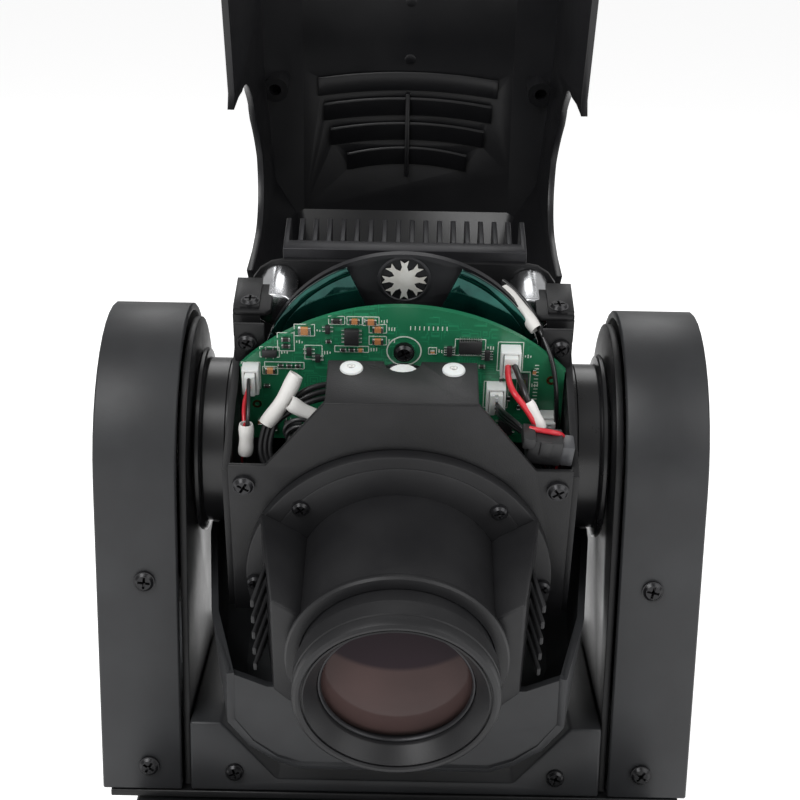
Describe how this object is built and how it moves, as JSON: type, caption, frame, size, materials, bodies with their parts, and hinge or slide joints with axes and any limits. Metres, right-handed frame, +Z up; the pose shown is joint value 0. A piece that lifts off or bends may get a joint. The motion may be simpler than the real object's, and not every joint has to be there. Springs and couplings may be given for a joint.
{
  "type": "moving head light",
  "caption": "Compact moving head spot light with a panning yoke and tilting head, its top cover swung open over the wheels, board and heat sink.",
  "frame": {"origin": "centre of the bracket pad under the base plate, on the pan axis", "axes": "+Z up along the pan axis, the lens faces -Y at rest, +X to the right seen from the lens side"},
  "size_m": [0.168, 0.2364, 0.3227],
  "materials": {
    "base_plastic": "fine matte moulded texture",
    "satin_plastic": "satin moulded plastic",
    "gloss_black": "glossy moulded plastic",
    "powder_coat": "fine textured black powder coat on sheet steel",
    "housing_black": "matte black moulded plastic",
    "rubber": "matte rubber",
    "zinc_steel": "zinc plated",
    "aluminium": "machined",
    "anodised_black": "black anodised",
    "motor_steel": "drawn steel can",
    "board_green": "green solder mask",
    "supply_board": "phenolic board",
    "filter_glass": "dichroic coated glass",
    "lens_glass": "anti-reflection coated glass",
    "display_glass": "dark display window",
    "wire_black": "insulated wire"
  },
  "bodies": {
    "base": {"base_housing": "base_plastic", "base_plate": "powder_coat", "foot_front_left": "rubber", "foot_front_right": "rubber", "foot_rear_left": "rubber", "foot_rear_right": "rubber", "control_panel": "gloss_black", "display": "display_glass", "power_inlet": "housing_black", "data_in_socket": "housing_black", "data_out_socket": "housing_black", "power_board": "supply_board", "pan_bearing": "zinc_steel", "pan_motor": "motor_steel", "pan_belt": "rubber"},
    "pan_drive": {"pan_motor_pulley": "aluminium"},
    "yoke": {"yoke_frame": "powder_coat", "arm_cover_left": "satin_plastic", "arm_cover_right": "satin_plastic", "crossmember_cover": "satin_plastic", "pan_shaft": "zinc_steel", "pan_pulley": "housing_black", "tilt_motor": "motor_steel", "tilt_belt": "rubber", "tilt_bearing_left": "zinc_steel", "tilt_bearing_right": "zinc_steel"},
    "tilt_drive": {"tilt_motor_pulley": "aluminium"},
    "head": {"tilt_hub_left": "gloss_black", "tilt_hub_right": "gloss_black", "tilt_pulley": "housing_black", "side_plate_left": "powder_coat", "side_plate_right": "powder_coat", "front_plate": "powder_coat", "rear_plate": "powder_coat", "pillar_left": "aluminium", "pillar_right": "aluminium", "heat_sink": "anodised_black", "led_board": "aluminium", "collimator": "lens_glass", "fan_frame": "housing_black", "gobo_wheel_motor": "motor_steel", "colour_wheel_motor": "motor_steel", "control_board": "board_green", "lens_housing": "housing_black", "lower_cover": "satin_plastic", "hinge_pin": "zinc_steel", "left_loom": "wire_black", "right_loom": "wire_black"},
    "gobo_disc": {"gobo_wheel": "anodised_black"},
    "colour_disc": {"colour_wheel_hub": "aluminium", "colour_filters": "filter_glass"},
    "fan_wheel": {"fan_rotor": "housing_black"},
    "focus_barrel": {"lens_barrel": "housing_black", "front_lens": "lens_glass", "lens_ring": "housing_black"},
    "cover": {"top_cover": "gloss_black"},
    "key_1": {"button_1": "satin_plastic"},
    "key_2": {"button_2": "satin_plastic"},
    "key_3": {"button_3": "satin_plastic"},
    "key_4": {"button_4": "satin_plastic"}
  },
  "joints": [
    {"name": "pan", "type": "hinge", "parent": "base", "child": "yoke", "pos_m": [0, 0, 0.062], "axis": [0, 0, 1], "range_deg": [-270, 270]},
    {"name": "pan_drive_spin", "type": "hinge", "parent": "base", "child": "pan_drive", "pos_m": [-0.046, 0, 0.041], "axis": [0, 0, 1], "range_deg": [-1360, 1360]},
    {"name": "tilt", "type": "hinge", "parent": "yoke", "child": "head", "pos_m": [0, 0, 0.16], "axis": [1, 0, 0], "range_deg": [-60, 6]},
    {"name": "tilt_drive_spin", "type": "hinge", "parent": "yoke", "child": "tilt_drive", "pos_m": [-0.075, 0, 0.098], "axis": [1, 0, 0], "range_deg": [-250, 30]},
    {"name": "gobo_wheel_spin", "type": "hinge", "parent": "head", "child": "gobo_disc", "pos_m": [0, -0.00538, 0.183], "axis": [0, -0.9455, -0.3256], "continuous": true},
    {"name": "colour_wheel_spin", "type": "hinge", "parent": "head", "child": "colour_disc", "pos_m": [0, -0.00907, 0.18173], "axis": [0, -0.9455, -0.3256], "continuous": true},
    {"name": "fan_spin", "type": "hinge", "parent": "head", "child": "fan_wheel", "pos_m": [0, 0.04728, 0.17628], "axis": [0, -0.9455, -0.3256], "continuous": true},
    {"name": "focus_slide", "type": "slide", "parent": "head", "child": "focus_barrel", "axis": [0, -0.9455, -0.3256], "range_m": [-0.004, 0.004]},
    {"name": "cover_hinge", "type": "hinge", "parent": "head", "child": "cover", "pos_m": [0, 0.07085, 0.15848], "axis": [1, 0, 0], "range_deg": [0, 90]},
    {"name": "button_1_press", "type": "slide", "parent": "base", "child": "key_1", "axis": [0, 1, 0], "range_m": [0, 0.0012], "stiffness_N_per_m": 250, "springref_m": -0.0004},
    {"name": "button_2_press", "type": "slide", "parent": "base", "child": "key_2", "axis": [0, 1, 0], "range_m": [0, 0.0012], "stiffness_N_per_m": 250, "springref_m": -0.0004},
    {"name": "button_3_press", "type": "slide", "parent": "base", "child": "key_3", "axis": [0, 1, 0], "range_m": [0, 0.0012], "stiffness_N_per_m": 250, "springref_m": -0.0004},
    {"name": "button_4_press", "type": "slide", "parent": "base", "child": "key_4", "axis": [0, 1, 0], "range_m": [0, 0.0012], "stiffness_N_per_m": 250, "springref_m": -0.0004}
  ],
  "couplings": [
    {"joint": "pan_drive_spin", "follows": "pan", "ratio": 5},
    {"joint": "tilt_drive_spin", "follows": "tilt", "ratio": 4}
  ]
}
